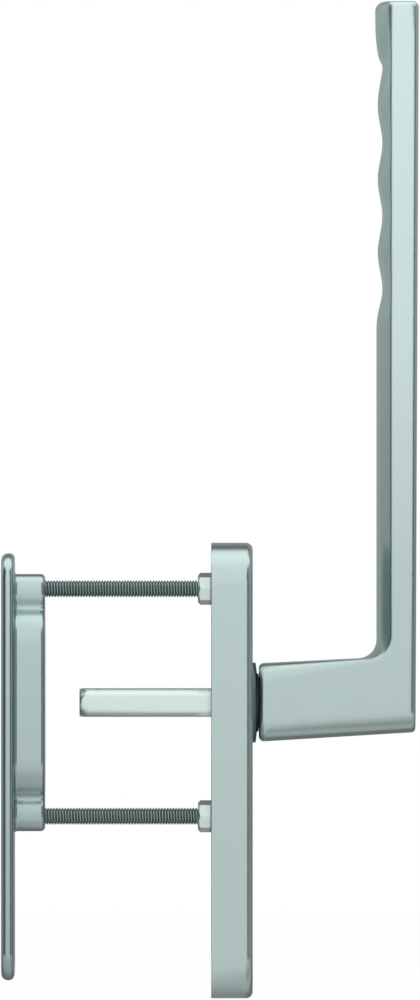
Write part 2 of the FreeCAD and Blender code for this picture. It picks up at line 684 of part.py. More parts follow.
def lever_outline(y, crowned):
    """A closed outline of the lever seen from the side, in the plane at y.

    At the sides it follows the straight edges of the grip. In the middle its rear line carries the
    crown and the finger scallops, and its top turns down over the crown in a large rounding.
    """
    edge_face = number("lever_reach") - number("grip_depth") + number("grip_crown")
    rear_face = edge_face
    corner = number("corner_edge_radius")
    lift = 0.0
    if crowned:
        rear_face = edge_face - number("grip_crown")
        corner = number("corner_crown_radius")
        lift = number("arm_crown")
    start = arm_start.number
    top = number("lever_rise")
    rise = math.radians(number("arm_top_angle"))
    fall = math.radians(number("arm_bottom_angle"))
    lean = math.radians(number("grip_lean"))

    def at(x, z):
        return FreeCAD.Vector(x, y, z)

    def upper_line(x):
        return number("arm_top_start") + lift + (x - start) * math.tan(rise)

    def lower_line(x):
        return -number("arm_bottom_start") + (x - start) * math.tan(fall)

    centre_x = rear_face - corner
    centre_z = upper_line(centre_x) + corner / math.cos(rise)
    middle = (rise - math.pi / 2) / 2
    arm_tangent = at(centre_x + corner * math.sin(rise), centre_z - corner * math.cos(rise))
    arc_middle = at(centre_x + corner * math.cos(middle), centre_z + corner * math.sin(middle))
    grip_tangent = at(rear_face, centre_z)
    run_out = at(rear_face, number("scallop_start"))
    if crowned:
        radius = number("top_rear_radius")
        head = rear_face - number("top_crest") + radius
        foot = at(rear_face - number("top_crest"), top - radius)
        rear_line = scallop_curve(at, rear_face, run_out, foot)
        diagonal = radius * math.sqrt(0.5)
        rounding = Part.Arc(foot, at(head - diagonal, top - radius + diagonal), at(head, top)).toShape()
    else:
        chamfer = number("top_side_chamfer")
        head = rear_face + chamfer
        foot = at(rear_face, top - chamfer)
        rear_line = Part.makeLine(run_out, foot)
        rounding = Part.makeLine(foot, at(head, top))
    outer_top = at(number("lever_reach"), top)
    heel_x = number("lever_reach") - (top + number("arm_bottom_start")) * math.tan(lean)
    heel = at(heel_x, lower_line(heel_x))
    neck_low = at(start, lower_line(start))
    neck_high = at(start, upper_line(start))
    return Part.Wire([
        Part.makeLine(neck_low, neck_high),
        Part.makeLine(neck_high, arm_tangent),
        Part.Arc(arm_tangent, arc_middle, grip_tangent).toShape(),
        Part.makeLine(grip_tangent, run_out),
        rear_line,
        rounding,
        Part.makeLine(at(head, top), outer_top),
        Part.makeLine(outer_top, heel),
        Part.makeLine(heel, neck_low),
    ])


def scallop_curve(at, rear_face, run_out, foot):
    """The wavy middle line of the grip's rear face: valleys for the fingers, crests between them."""
    points = [run_out]
    count = int(number("scallop_count"))
    pitch = number("scallop_pitch")
    for index in range(count):
        valley = number("scallop_first") + pitch * index
        points.append(at(rear_face + number("scallop_depth"), valley))
        if index < count - 1:
            points.append(at(rear_face + number("crest_drop"), valley + pitch / 2))
    points.append(foot)
    up = FreeCAD.Vector(0, 0, 1)
    curve = Part.BSplineCurve()
    curve.interpolate(points, InitialTangent=up, FinalTangent=up)
    return curve.toShape()


def plain_edge(edge):
    """A copy of an edge without its surfaces, as a true line where it is straight."""
    first, last = edge.firstVertex().Point, edge.lastVertex().Point
    if abs(first.distanceToPoint(last) - edge.Length) < NEAR * NEAR:
        return Part.makeLine(first, last)
    return edge.Curve.toShape(*edge.ParameterRange)


def with_plane_faces(solid):
    """The same solid, with each of its flat faces on a true plane."""
    faces = []
    for face in solid.Faces:
        if face.findPlane(NEAR) is None:
            faces.append(face)
        else:
            faces.append(Part.Face(Part.Wire([plain_edge(edge) for edge in face.OuterWire.OrderedEdges])))
    shell = Part.makeShell(faces)
    shell.sewShape()
    flat = Part.makeSolid(shell)
    flat.fix(NEAR, NEAR, NEAR)
    return flat


def make_lever():
    """The lever is one casting: a neck, a rising arm and an upright grip with a crowned rear face.

    Its blank is a smooth loft through three side outlines, two at the sides and one in the middle.
    """
    half_width = number("lever_width") / 2
    outlines = [lever_outline(-half_width, False), lever_outline(0.0, True), lever_outline(half_width, False)]
    blank = doc.addObject("Part::Feature", "lever_blank")
    blank.Shape = with_plane_faces(Part.makeLoft(outlines, True, False))
    body = new_body("lever")
    body.BaseFeature = blank
    doc.recompute()
    round_lever(body, half_width)
    neck_end = size("neck_inset")
    neck = new_sketch(body, "lever_neck", PLANE_X, neck_end)
    draw_circle(neck, size("neck_radius"))
    add_pad(body, "lever_neck_pad", neck, arm_start - neck_end + size("cover_face"))
    rear = ring_start() - size("face_fit")
    front = ring_start() + size("ring_thickness") + size("face_fit")
    floor = size("neck_radius") - size("groove_depth")
    outside = size("neck_radius") + size("ring_reach")
    groove = new_sketch(body, "lever_ring_groove", PLANE_Y)
    draw_outline(groove, [(rear, floor), (front, floor), (front, outside), (rear, outside)])
    cut_groove(body, "lever_ring_groove_cut", groove)
    socket = new_sketch(body, "lever_socket", PLANE_X, neck_end)
    spindle_section(socket, size("running_fit"))
    cut_pocket(body, "lever_socket_cut", socket, size("spindle_in_lever") - neck_end + size("face_fit"))
    cut_set_screw_hole(body)


def cut_set_screw_hole(body):
    below = size("arm_bottom_start") + size("cover_face")
    hole = new_sketch(body, "lever_set_screw_hole", "XY_Plane", -below)
    draw_circle(hole, size("set_screw_radius") + size("running_fit"), size("set_screw_at"), ZERO)
    cut_pocket(body, "lever_set_screw_cut", hole, below - size("spindle_size") / 2)


def round_arm_top(body, side, name):
    """Rounds one upper edge of the arm. The rounding shrinks towards the grip until it runs out."""
    half_width = size("lever_width") / 2
    spare = size("arm_end_radius")
    sections = []
    for place_name, along, radius in (("neck", arm_start - spare, size("arm_top_radius")),
                                      ("grip", size("arm_top_run_out"), size("arm_top_last_radius"))):
        ratio = (half_width - radius) / half_width
        crown = size("arm_crown") * (-(ratio * ratio) + 1)
        up = size("arm_top_start") + (along - arm_start) * tangent(size("arm_top_angle")) + crown
        section = new_sketch(body, f"arm_top_{name}_{place_name}", PLANE_X, along)
        draw_edge_cut(section, side, half_width, up, radius, spare)
        sections.append(section)
    before = body.Shape.Volume
    cut = body.newObject("PartDesign::SubtractiveLoft", f"arm_top_{name}_rounding")
    cut.Profile = sections[0]
    cut.Sections = sections[1:]
    cut.Ruled = True
    doc.recompute()
    if not body.Shape.Volume < before:
        raise ValueError(f"{cut.Label} cuts nothing")


def round_lever(body, half_width):
    """The roundings of the casting, the large one under the arm first."""
    top = number("lever_rise")
    start = arm_start.number
    outer = number("lever_reach") - number("grip_depth") / 2

    def on_side(edge):
        box = edge.BoundBox
        return box.YLength < NEAR and abs(abs(box.YMax) - half_width) < NEAR

    def under_the_arm(edge):
        return on_side(edge) and edge.BoundBox.ZMax < 0 and edge.BoundBox.XLength > half_width

    def across_the_top(edge):
        box = edge.BoundBox
        return box.YLength > half_width and box.ZMin > top - NEAR and box.XMin > outer

    def along_the_outer_face(edge):
        return on_side(edge) and edge.BoundBox.XMin > outer and edge.BoundBox.ZLength > half_width

    add_fillet(body, "lever_underside", body.Tip, size("arm_underside_radius"), under_the_arm)
    add_fillet(body, "lever_top_outer", body.Tip, size("top_outer_radius"), across_the_top)
    add_fillet(body, "lever_outer_edges", body.Tip, size("outer_edge_radius"), along_the_outer_face)
    add_fillet(body, "lever_arm_end", body.Tip, size("arm_end_radius"), lambda edge: lies_at_x(edge, start))
    for side, name in ((1, "right"), (-1, "left")):
        round_arm_top(body, side, name)


def make_support_post(side, name):
    """An octagonal post that keeps the plate square to the door. Its spigot sits in the base plate."""
    body = new_body(f"support_post_{name}")
    length = size("post_length")
    section = new_sketch(body, f"post_{name}_section", PLANE_X, -length)
    draw_polygon(section, size("post_corners") / 2, 8, 0)
    add_pad(body, f"post_{name}_bar", section, length)
    spigot = new_sketch(body, f"post_{name}_spigot", PLANE_X)
    draw_circle(spigot, size("post_spigot_radius"))
    add_pad(body, f"post_{name}_spigot_pad", spigot, size("post_spigot_length"))
    bore = new_sketch(body, f"post_{name}_bore", PLANE_X, -length)
    draw_circle(bore, size("screw_radius") + size("screw_clearance"))
    cut_pocket(body, f"post_{name}_bore_cut", bore, length + size("post_spigot_length"))
    corner = size("post_corners") / 2
    chamfer = size("post_chamfer")
    cone = new_sketch(body, f"post_{name}_cone", PLANE_Y)
    draw_outline(cone, [(-length, corner - chamfer), (-length + chamfer, corner), (-length, corner + chamfer)])
    cut_groove(body, f"post_{name}_cone_cut", cone)
    place(body, ZERO, half_spacing * side)


def make_fixing_screw(side, name):
    """A long screw from under the cover, through the post and the door, into the pull's lug."""
    tip = lug_face - size("screw_grip")
    radius = size("screw_radius")
    chamfer = size("screw_tip_chamfer")
    head = size("screw_head_radius")
    edge = size("screw_head_edge")
    seat = screw_head_seat + size("face_fit") * 2
    top = seat + size("screw_head_height")
    body = turned_body(f"fixing_screw_{name}", [
        (tip, ZERO), (tip, radius - chamfer), (tip + chamfer, radius), (seat, radius), (seat, head),
        (top - edge, head), (top, head - edge), (top, ZERO),
    ])
    cut_hexagon(body, f"fixing_screw_{name}", top, size("screw_socket"), size("screw_socket_depth"))
    place(body, ZERO, half_spacing * side)


def make_screw_washer(side, name):
    rear = size("boss_height") + size("face_fit")
    front = rear + size("screw_washer_thickness")
    inner = size("screw_radius") + size("screw_clearance")
    rim = size("screw_washer_radius")
    body = turned_body(f"screw_washer_{name}", [(rear, inner), (front, inner), (front, rim), (rear, rim)])
    place(body, ZERO, half_spacing * side)


def make_screw_insert(side, name):
    """The threaded insert that a fixing screw ends in."""
    front = lug_face - size("insert_length")
    inner = size("screw_radius") + size("running_fit")
    chamfer = size("insert_chamfer")
    rim = size("insert_radius")
    body = turned_body(f"screw_insert_{name}", [
        (front, inner), (lug_face - chamfer, inner), (lug_face, inner + chamfer), (lug_face, rim), (front, rim),
    ])
    place(body, ZERO, half_spacing * side)


def make_flush_pull():
    """The outer pull: flange, recess and two screw lugs in one piece. The recess opens away from the door."""
    body = new_body("flush_pull")
    flange = size("flange_thickness")
    front = pull_rear - flange
    below = size("cylinder_below") + size("cylinder_slot_end") + size("flange_under_cylinder")
    above = lug_reach + size("flange_over_lug")
    corners = plate_blank(body, "flange", size("flange_width") / 2, below, above, flange,
                          size("flange_corner"), front)
    front_edge = add_fillet(body, "flange_front", corners, size("flange_front_edge"),
                            lambda edge: lies_at_x(edge, front.number))
    add_fillet(body, "flange_rear", front_edge, size("flange_rear_edge"),
               lambda edge: lies_at_x(edge, pull_rear.number))
    half_cup = size("cup_height") / 2
    cup = new_sketch(body, "cup_outline", PLANE_X, pull_rear)
    draw_box(cup, -cup_half_width, cup_half_width, -half_cup, half_cup)
    cup_pad = add_pad(body, "cup_pad", cup, size("cup_depth"))
    face = lug_face.number
    middle = (pull_rear.number + face) / 2
    add_fillet(body, "cup_corners", cup_pad, cup_corner,
               lambda edge: runs_along_x(edge) and abs(edge.BoundBox.Center.x - middle) < NEAR
               and abs(abs(edge.BoundBox.Center.z) - half_cup.number) < NEAR)
    half_lug = size("lug_width") / 2
    for side, name in ((1, "upper"), (-1, "lower")):
        lug = new_sketch(body, f"lug_{name}_outline", PLANE_X, pull_rear)
        inner = half_cup - size("lug_overlap")
        low, high = (inner, lug_reach) if side > 0 else (-lug_reach, -inner)
        draw_rounded_box(lug, -half_lug, half_lug, low, high, size("lug_corner"))
        add_pad(body, f"lug_{name}_pad", lug, size("cup_depth"))
    round_pull(body, half_cup.number, half_lug.number)
    mouth = new_sketch(body, "cup_mouth", PLANE_X, front)
    wall = size("cup_wall")
    mouth_width = cup_half_width - wall
    draw_rounded_box(mouth, -mouth_width, mouth_width, wall - half_cup, half_cup - wall, cup_corner - wall)
    hollow = cut_pocket(body, "cup_hollow", mouth, flange + size("cup_depth") - wall)
    inner_height = (half_cup - wall).number
    floor = (lug_face - wall).number
    add_fillet(body, "cup_floor_edge", hollow, size("cup_inner_edge"), lambda edge: lies_at_x(edge, floor))
    add_fillet(body, "cup_mouth_edge", body.Tip, size("cup_mouth_edge"),
               lambda edge: lies_at_x(edge, front.number) and abs(edge.BoundBox.Center.z) <= inner_height
               and abs(edge.BoundBox.YMax) < cup_half_width.number)
    depth = size("insert_length") + size("insert_hole_spare")
    for side, name in ((1, "upper"), (-1, "lower")):
        hole = new_sketch(body, f"lug_{name}_hole", PLANE_X, lug_face)
        draw_circle(hole, size("insert_radius") + size("running_fit"), ZERO, half_spacing * side)
        cut_pocket(body, f"lug_{name}_hole_cut", hole, depth, reverse=False)
    cut_cylinder_hole(body, "flange_cylinder", front, flange)


def round_pull(body, half_cup, half_lug):
    """The roundings of the pull seen from behind: lug roots, rear edges and the foot."""
    face = lug_face.number
    rear = pull_rear.number
    end = lug_reach.number

    def upright(edge):
        return runs_along_x(edge) and edge.BoundBox.XMin > rear - NEAR

    add_fillet(body, "lug_roots", body.Tip, size("lug_root"),
               lambda edge: upright(edge) and abs(edge.BoundBox.Center.y) < half_lug - NEAR
               and abs(edge.BoundBox.Center.z) < half_cup + NEAR)
    add_fillet(body, "pull_rear_edge", body.Tip, size("lug_edge"), lambda edge: lies_at_x(edge, face))
    aside = cup_half_width.number + NEAR

    def at_the_foot(edge):
        box = edge.BoundBox
        return lies_at_x(edge, rear) and max(-box.YMin, box.YMax) < aside and max(-box.ZMin, box.ZMax) < end + NEAR

    add_fillet(body, "cup_foot_fillet", body.Tip, size("cup_foot"), at_the_foot)


make_lever()
make_spindle()
make_set_screw()
make_neck_washers()
make_neck_bush()
make_neck_collar()
make_cover_plate()
make_base_plate()
make_flush_pull()
for turn, level in ((1, "upper"), (-1, "lower")):
    make_cover_clip(turn, level)
    make_support_post(turn, level)
    make_fixing_screw(turn, level)
    make_screw_washer(turn, level)
    make_screw_insert(turn, level)

doc.recompute()
for item in doc.Objects:
    if "Invalid" in item.State or "Error" in item.State:
        raise ValueError(f"{item.Label} failed: {item.State}")

os.makedirs("parts", exist_ok=True)
for body in PARTS:
    shape = body.Shape
    if shape.isNull() or not shape.isValid():
        raise ValueError(f"{body.Label} has no valid shape")
    shape.exportStep(f"parts/{body.Label}.step")
    box = shape.BoundBox
    print(f"{body.Label:24s} solids {len(shape.Solids)} volume {shape.Volume:10.1f} "
          f"X {box.XMin:7.2f} {box.XMax:7.2f} Y {box.YMin:7.2f} {box.YMax:7.2f} Z {box.ZMin:7.2f} {box.ZMax:7.2f}")
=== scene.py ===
# %% [markdown]
# # A lift and slide door handle
# The handle set has two halves that clamp a thick sliding door: a lever on a long cover plate in the
# room, and a flush pull outside. Two long screws and a square spindle join them through the door.
# The solids come from the CAD model and stay where they are. This file gives them their finishes,
# cuts real threads on the screws and sets up the light and the camera.

# %% Load the model
import math

import bmesh
import bpy
from mathutils import Matrix, Vector


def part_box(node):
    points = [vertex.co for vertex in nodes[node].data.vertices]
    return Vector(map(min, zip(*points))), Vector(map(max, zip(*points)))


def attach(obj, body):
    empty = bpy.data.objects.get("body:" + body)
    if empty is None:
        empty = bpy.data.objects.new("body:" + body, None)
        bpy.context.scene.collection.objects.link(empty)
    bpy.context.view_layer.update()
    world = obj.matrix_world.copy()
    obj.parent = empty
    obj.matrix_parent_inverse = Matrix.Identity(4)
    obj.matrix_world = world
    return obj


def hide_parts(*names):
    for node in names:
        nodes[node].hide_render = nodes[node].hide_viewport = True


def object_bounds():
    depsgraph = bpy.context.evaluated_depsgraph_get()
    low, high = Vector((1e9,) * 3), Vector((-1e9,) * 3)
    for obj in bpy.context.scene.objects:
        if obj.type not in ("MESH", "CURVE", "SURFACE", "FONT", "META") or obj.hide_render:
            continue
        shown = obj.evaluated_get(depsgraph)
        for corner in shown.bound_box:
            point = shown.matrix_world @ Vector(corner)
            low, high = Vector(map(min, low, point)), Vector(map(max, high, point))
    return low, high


MM = 0.001

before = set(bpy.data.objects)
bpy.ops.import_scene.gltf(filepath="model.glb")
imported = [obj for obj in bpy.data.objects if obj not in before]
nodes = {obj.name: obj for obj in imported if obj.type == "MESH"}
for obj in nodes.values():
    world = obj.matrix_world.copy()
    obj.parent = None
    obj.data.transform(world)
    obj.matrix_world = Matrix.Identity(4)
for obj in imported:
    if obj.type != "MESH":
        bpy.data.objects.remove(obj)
cad_low, cad_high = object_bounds()
print("the model measures", [round(side / MM, 1) for side in cad_high - cad_low], "mm")


# %% [markdown]
# ## Camera
# The picture looks straight at the side of the handle from far away, so there is almost no
# perspective. A long lens does the same: the further back the camera stands, the longer the lens.
# The scale holds at the faces turned to the camera, a little in front of the spindle's axis.

# %% Camera
PICTURE_WIDTH = 420
PICTURE_HEIGHT = 1000
PIXELS_PER_MM = 2.85
SPINDLE_AXIS_PIXEL = (211.2, 703.0)
CAMERA_DISTANCE = 5.0
FARTHEST_SEEN = 50.0
NEAR_FACES = 12 * MM
SENSOR = 36.0

centre_x = (PICTURE_WIDTH / 2 - SPINDLE_AXIS_PIXEL[0]) / PIXELS_PER_MM * MM
centre_z = (SPINDLE_AXIS_PIXEL[1] - PICTURE_HEIGHT / 2) / PIXELS_PER_MM * MM
frame_height = PICTURE_HEIGHT / PIXELS_PER_MM * MM


def link(piece):
    bpy.context.scene.collection.objects.link(piece)
    return piece


camera_data = bpy.data.cameras.new("camera")
camera_data.sensor_width = SENSOR
camera_data.lens = SENSOR * (CAMERA_DISTANCE - NEAR_FACES) / frame_height
camera_data.clip_end = FARTHEST_SEEN
camera = link(bpy.data.objects.new("camera", camera_data))
camera.location = (centre_x, -CAMERA_DISTANCE, centre_z)
camera.rotation_euler = (math.pi / 2, 0, 0)
bpy.context.scene.camera = camera
bpy.context.scene.view_settings.view_transform = "Standard"
print("lens", round(camera_data.lens), "mm")


# %% [markdown]
# ## Floor
# The picture has a plain white ground, and a pale board gives it. A white that is only painted would
# look grey in the shade, so Light Path makes the board glow where the camera or a reflection meets it.
# Only a trace of the paint, and so of the handle's shadow, shows through. The board lies just
# under the lowest point that the turned lever reaches, so that the lever never dips into it.

# %% Floor
FLOOR_GAP = 0.5 * MM
FLOOR_SIZE = 12.0
SEEN_WHITE = 0.98


def mesh_object(name, mesh_data):
    """A bmesh becomes an object at the origin, and the bmesh is freed."""
    mesh = bpy.data.meshes.new(name)
    mesh_data.to_mesh(mesh)
    mesh_data.free()
    return link(bpy.data.objects.new(name, mesh))


def level_board(name, left, right, near, far, height):
    """A flat board that lies level, between two sides and from the camera's side to the far one."""
    shape = bmesh.new()
    bmesh.ops.create_grid(shape, x_segments=1, y_segments=1, size=0.5)
    bmesh.ops.scale(shape, vec=(right - left, far - near, 1), verts=shape.verts)
    bmesh.ops.translate(shape, vec=((left + right) / 2, (near + far) / 2, height), verts=shape.verts)
    return mesh_object(name, shape)


def new_material(name):
    material = bpy.data.materials.new(name)
    material.use_nodes = True
    return material, material.node_tree.nodes, material.node_tree.links


def calculation(tree, links, operation, first, second):
    """A Math node. Its second value is a number or the output of another node."""
    node = tree.new("ShaderNodeMath")
    node.operation = operation
    links.new(first, node.inputs[0])
    if isinstance(second, float):
        node.inputs[1].default_value = second
    else:
        links.new(second, node.inputs[1])
    return node.outputs[0]


def seen_or_mirrored(tree, links):
    """1 where the camera, a reflection or glass looks at this surface, and 0 for all other light."""
    path = tree.new("ShaderNodeLightPath")
    seen = calculation(tree, links, "MAXIMUM", path.outputs["Is Camera Ray"], path.outputs["Is Glossy Ray"])
    return calculation(tree, links, "MAXIMUM", seen, path.outputs["Is Transmission Ray"])


floor_height = -cad_high.z - FLOOR_GAP
floor = level_board("floor", -FLOOR_SIZE / 2, FLOOR_SIZE / 2, -FLOOR_SIZE / 2, FLOOR_SIZE / 2, floor_height)

floor_paint, paint_nodes, paint_links = new_material("floor_paint")
paint = paint_nodes["Principled BSDF"]
paint.inputs["Base Color"].default_value = (0.9, 0.9, 0.9, 1)
paint.inputs["Roughness"].default_value = 0.9
paint.inputs["Specular IOR Level"].default_value = 0.1
white = paint_nodes.new("ShaderNodeEmission")
mix = paint_nodes.new("ShaderNodeMixShader")
seen = seen_or_mirrored(paint_nodes, paint_links)
share = calculation(paint_nodes, paint_links, "MULTIPLY", seen, SEEN_WHITE)
paint_links.new(share, mix.inputs[0])
paint_links.new(paint.outputs[0], mix.inputs[1])
paint_links.new(white.outputs[0], mix.inputs[2])
paint_links.new(mix.outputs[0], paint_nodes["Material Output"].inputs["Surface"])
floor.data.materials.append(floor_paint)
print("floor at", round(floor_height / MM, 1), "mm")


# %% [markdown]
# ## World and lamp
# Even light from all round is the main light, as in a light tent. The camera sees the world as plain
# white, while the light that falls on the handle stays at a normal level. One large soft lamp
# from the upper left adds a little direction. Reflections don't show it: the cards below do that work.

# %% World and lamp
WORLD_COLOUR = (0.85, 0.92, 0.92)
WORLD_STRENGTH = 0.55
KEY_POWER = 14.0
KEY_SIZE = (1.2, 1.6)
KEY_PLACE = (-0.9, -2.2, 1.6)

world = bpy.data.worlds.new("studio")
world.use_nodes = True
bpy.context.scene.world = world
world_nodes, world_links = world.node_tree.nodes, world.node_tree.links
background = world_nodes["Background"]
background.inputs["Color"].default_value = (*WORLD_COLOUR, 1)
background.inputs["Strength"].default_value = WORLD_STRENGTH
seen_white = world_nodes.new("ShaderNodeBackground")
seen_white.inputs["Color"].default_value = (1, 1, 1, 1)
seen_white.inputs["Strength"].default_value = 1.0
world_mix = world_nodes.new("ShaderNodeMixShader")
world_links.new(seen_or_mirrored(world_nodes, world_links), world_mix.inputs[0])
world_links.new(background.outputs[0], world_mix.inputs[1])
world_links.new(seen_white.outputs[0], world_mix.inputs[2])
world_links.new(world_mix.outputs[0], world_nodes["World Output"].inputs["Surface"])

key_data = bpy.data.lights.new("key", "AREA")
key_data.shape = "RECTANGLE"
key_data.size, key_data.size_y = KEY_SIZE
key_data.energy = KEY_POWER
key = link(bpy.data.objects.new("key", key_data))
key.location = KEY_PLACE
key_direction = Vector((centre_x, 0, centre_z)) - Vector(KEY_PLACE)
key.rotation_euler = key_direction.to_track_quat("-Z", "Y").to_euler()
key.visible_glossy = False
print("world at", WORLD_STRENGTH, "and a lamp of", KEY_POWER, "W")


# %% [markdown]
# ## Cards round the handle
# Satin metal has little colour of its own: what it shows is the room. So cards stand round the
# handle, as in a studio for metalware, and only reflections see them. The front card is nearly even
# and is what the flat faces mirror. The narrow dark cards beside it draw dark lines along the edges,
# and the dimmer ones at the sides and behind give the tone of everything that turns away.
# Each upright card is a vertical edge that Spin sweeps round the handle, so it stands at the same
# distance everywhere. A colour ramp along its height sets how strongly each part of it glows.

# %% Cards round the handle
CARD_DISTANCE = 1.5
CARD_TOP = 1.4
DEGREES_PER_STEP = 6.0
FRONT_TINT = (0.97, 1.0, 1.0)
SIDE_TINT = (0.91, 1.0, 1.0)


def graded_value(tree, links, axis, stops):
    """A value that changes along one axis of the object. stops are pairs of a place and a value."""
    first, last = stops[0][0], stops[-1][0]
    largest = max(value for _, value in stops)
    place = tree.new("ShaderNodeTexCoord")
    split = tree.new("ShaderNodeSeparateXYZ")
    along = tree.new("ShaderNodeMapRange")
    along.inputs["From Min"].default_value = first
    along.inputs["From Max"].default_value = last
    ramp = tree.new("ShaderNodeValToRGB")
    marks = ramp.color_ramp.elements
    for index, (position, value) in enumerate(stops):
        share = (position - first) / (last - first)
        mark = marks[index] if index < 2 else marks.new(share)
        mark.position = share
        mark.color = (value / largest, value / largest, value / largest, 1)
    links.new(place.outputs["Object"], split.inputs[0])
    links.new(split.outputs[axis], along.inputs["Value"])
    links.new(along.outputs["Result"], ramp.inputs[0])
    return calculation(tree, links, "MULTIPLY", ramp.outputs["Color"], largest)


def only_for_reflections(card, tint, axis, glow_stops):
    """The card glows, with a strength that changes along one axis, and only reflections see it."""
    material, tree, links = new_material(f"{card.name}_paint")
    tree.remove(tree["Principled BSDF"])
    glow = tree.new("ShaderNodeEmission")
    glow.inputs["Color"].default_value = (*tint, 1)
    links.new(graded_value(tree, links, axis, glow_stops), glow.inputs["Strength"])
    links.new(glow.outputs[0], tree["Material Output"].inputs["Surface"])
    card.data.materials.append(material)
    card.visible_camera = False
    card.visible_diffuse = False
    card.visible_shadow = False


def upright_card(name, start, end, tint, glow_stops):
    """A card from one angle to another. Zero is the camera's side, and 90 is the lever's side."""
    shape = bmesh.new()
    foot = shape.verts.new((0, -CARD_DISTANCE, floor_height))
    head = shape.verts.new((0, -CARD_DISTANCE, CARD_TOP))
    edge = shape.edges.new((foot, head))
    turn = Matrix.Rotation(math.radians(start), 4, "Z")
    bmesh.ops.transform(shape, matrix=turn, verts=[foot, head])
    steps = math.ceil((end - start) / DEGREES_PER_STEP)
    bmesh.ops.spin(shape, geom=[foot, head, edge], cent=(0, 0, 0), axis=(0, 0, 1), dvec=(0, 0, 0),
                   angle=math.radians(end - start), steps=steps, use_merge=False)
    only_for_reflections(mesh_object(name, shape), tint, "Z", glow_stops)


UPRIGHT_CARDS = (
    ("card_front", -35, 20, FRONT_TINT, ((-0.1, 0.77), (0.1, 0.88), (0.4, 0.92), (CARD_TOP, 0.94))),
    ("card_right_line", 20, 42, SIDE_TINT, ((-0.1, 0.03), (CARD_TOP, 0.03))),
    ("card_right", 42, 130, SIDE_TINT, ((-0.1, 0.28), (0.06, 0.29), (0.12, 0.35), (CARD_TOP, 0.36))),
    ("card_behind", 130, 230, SIDE_TINT, ((-0.1, 0.42), (CARD_TOP, 0.30))),
    ("card_left", 230, 276, SIDE_TINT, ((-0.1, 0.37), (0.1, 0.36), (0.4, 0.44), (CARD_TOP, 0.44))),
    ("card_left_line", 276, 325, SIDE_TINT, ((-0.1, 0.08), (0.1, 0.03), (CARD_TOP, 0.04))),
)
for card in UPRIGHT_CARDS:
    upright_card(*card)
print(len(UPRIGHT_CARDS), "upright cards")


# %% [markdown]
# ## Cards over and under the handle
# Edges that face up show the ceiling, and edges that face down show the floor. The ceiling is bright
# in front and dark behind, so a rounded top edge has a light band and then a thin dark line. Under the
# pull, the cover and the lever the real pieces darken in different ways towards their lower ends,
# so each of the three has its own strip of floor card, graded from front to back.

# %% Cards over and under the handle
COVER_LEFT = -30.0 * MM
COVER_RIGHT = 18.0 * MM
FLOOR_CARD = floor_height + 0.2 * MM


def level_card(name, left, right, height, glow_stops):
    """A level card above or below the handle. Its glow changes from front to back."""
    card = level_board(name, left, right, glow_stops[0][0], glow_stops[-1][0], height)
    only_for_reflections(card, FRONT_TINT, "Y", glow_stops)


LEVEL_CARDS = (
    ("ceiling_front", -CARD_DISTANCE, CARD_DISTANCE, CARD_TOP,
     ((-CARD_DISTANCE, 0.92), (-0.75, 1.0), (-0.25, 1.12), (0.0, 1.16), (0.5, 0.9))),
    ("ceiling_behind", -CARD_DISTANCE, CARD_DISTANCE, CARD_TOP, ((0.5, 0.12), (CARD_DISTANCE, 0.2))),
    ("floor_under_pull", -CARD_DISTANCE, COVER_LEFT, FLOOR_CARD,
     ((-CARD_DISTANCE, 0.78), (-0.37, 0.64), (-0.20, 0.50), (-0.14, 0.55), (-0.05, 0.55),
      (-0.01, 0.42), (0.13, 0.2), (CARD_DISTANCE, 0.3))),
    ("floor_under_cover", COVER_LEFT, COVER_RIGHT, FLOOR_CARD,
     ((-CARD_DISTANCE, 0.79), (-0.8, 0.84), (-0.43, 1.06), (-0.20, 0.88), (-0.10, 0.68),
      (-0.015, 0.50), (0.07, 0.36), (0.24, 0.30), (CARD_DISTANCE, 0.3))),
    ("floor_under_lever", COVER_RIGHT, CARD_DISTANCE, FLOOR_CARD,
     ((-CARD_DISTANCE, 0.78), (-0.75, 0.74), (-0.29, 0.52), (-0.14, 0.34), (-0.06, 0.5), (0.016, 0.5),
      (0.09, 0.2), (CARD_DISTANCE, 0.3))),
)
for card in LEVEL_CARDS:
    level_card(*card)
print(len(LEVEL_CARDS), "level cards")


# %% [markdown]
# ## Shared surface effects
# Satin aluminium is blasted and anodised: it has a very fine grain that spreads its reflections,
# and its gloss varies a little from place to place. A picture could carry that, but noise has no
# seams and no edge. One node group makes the grain for every material here, with its own scale and
# strength in each. The two noises average a half each, so taking 1 from their sum centres it.

